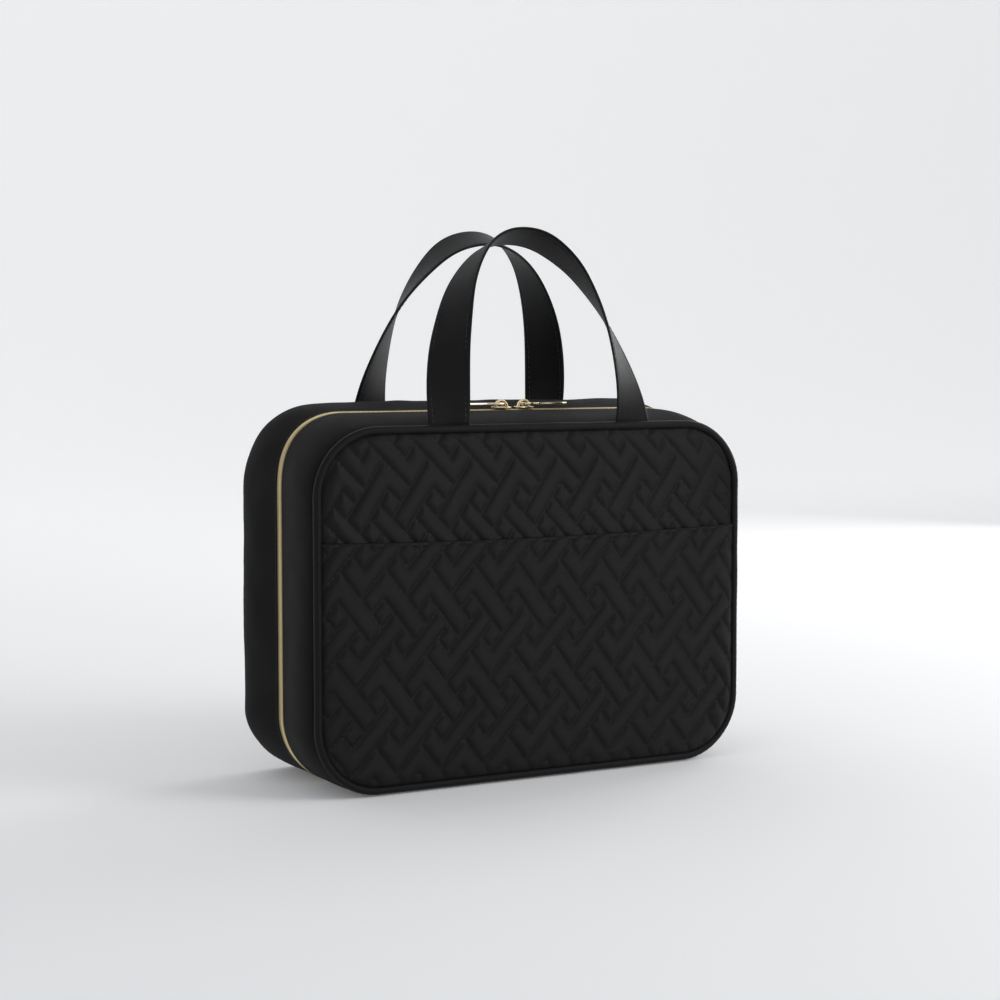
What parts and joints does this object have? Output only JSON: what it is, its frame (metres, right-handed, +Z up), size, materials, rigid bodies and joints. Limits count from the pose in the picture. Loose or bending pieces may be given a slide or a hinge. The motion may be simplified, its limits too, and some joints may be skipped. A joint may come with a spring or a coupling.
{
  "type": "makeup bag",
  "caption": "Soft quilted travel makeup bag: two zipped trays hinged along the bottom, an outer slip pocket, piped edges and a pair of twisted strap handles.",
  "frame": {"origin": "middle of the footprint, on the surface the bag stands on", "axes": "+Z up, the front panel with the slip pocket faces -Y, each handle arches along X, one behind the other"},
  "size_m": [0.285, 0.103, 0.3109],
  "materials": {
    "quilted_cloth": "smooth satin-faced cloth, quilted over wadding",
    "gusset_cloth": "matt plain-woven cloth",
    "piping_cloth": "cloth over cord, slightly shiny",
    "strap_cloth": "folded strap cloth with two stitch rows",
    "lining_cloth": "thin plain lining",
    "mesh_cloth": "open knitted mesh",
    "elastic_webbing": "ribbed woven elastic",
    "zip_tape": "herringbone zip tape",
    "zip_coil": "metallised pale gold coil",
    "zip_metal": "plated pale gold, polished",
    "pull_metal": "plated pale gold, polished",
    "foam_board": "closed-cell foam sheet"
  },
  "bodies": {
    "root": {"rear_panel": "quilted_cloth", "rear_gusset": "gusset_cloth", "rear_piping": "piping_cloth", "rear_board": "foam_board", "rear_lining_back": "lining_cloth", "rear_lining_side": "lining_cloth", "rear_binding": "piping_cloth", "rear_zip_tape": "zip_tape", "rear_zip_coil": "zip_coil", "rear_mesh_pocket": "mesh_cloth", "rear_mesh_elastic": "elastic_webbing", "rear_hinge_tape": "gusset_cloth", "zip_end_tabs": "gusset_cloth"},
    "front_half": {"front_panel": "quilted_cloth", "front_pocket": "quilted_cloth", "front_pocket_hem": "quilted_cloth", "front_gusset": "gusset_cloth", "front_piping": "piping_cloth", "front_board": "foam_board", "front_lining_back": "lining_cloth", "front_lining_side": "lining_cloth", "front_binding": "piping_cloth", "front_zip_tape": "zip_tape", "front_zip_coil": "zip_coil", "front_inner_pocket": "lining_cloth", "front_elastic_band": "elastic_webbing", "front_hinge_tape": "gusset_cloth"},
    "front_handle": {"front_handle": "strap_cloth"},
    "rear_handle": {"rear_handle": "strap_cloth"},
    "left_slider": {"left_slider": "zip_metal", "left_crown": "zip_metal"},
    "left_pull": {"left_pull": "pull_metal"},
    "right_slider": {"right_slider": "zip_metal", "right_crown": "zip_metal"},
    "right_pull": {"right_pull": "pull_metal"}
  },
  "joints": [
    {"name": "front_half_hinge", "type": "hinge", "parent": "root", "child": "front_half", "pos_m": [0, 0, -0.0002], "axis": [1, 0, 0], "range_deg": [0, 180]},
    {"name": "front_handle_fold", "type": "hinge", "parent": "front_half", "child": "front_handle", "pos_m": [0, -0.0512, 0.2011], "axis": [1, 0, 0], "range_deg": [-2, 175]},
    {"name": "rear_handle_fold", "type": "hinge", "parent": "root", "child": "rear_handle", "pos_m": [0, 0.0512, 0.2011], "axis": [-1, 0, 0], "range_deg": [-2, 175]},
    {"name": "left_slider_slide", "type": "slide", "parent": "root", "child": "left_slider", "axis": [-1, 0, 0], "range_m": [0, 0.094]},
    {"name": "left_pull_swing", "type": "hinge", "parent": "left_slider", "child": "left_pull", "pos_m": [0.0035, 0, 0.2101], "axis": [0, 1, 0], "range_deg": [0, 95]},
    {"name": "right_slider_slide", "type": "slide", "parent": "root", "child": "right_slider", "axis": [1, 0, 0], "range_m": [0, 0.072]},
    {"name": "right_pull_swing", "type": "hinge", "parent": "right_slider", "child": "right_pull", "pos_m": [0.0185, 0, 0.2101], "axis": [0, -1, 0], "range_deg": [0, 95]}
  ]
}
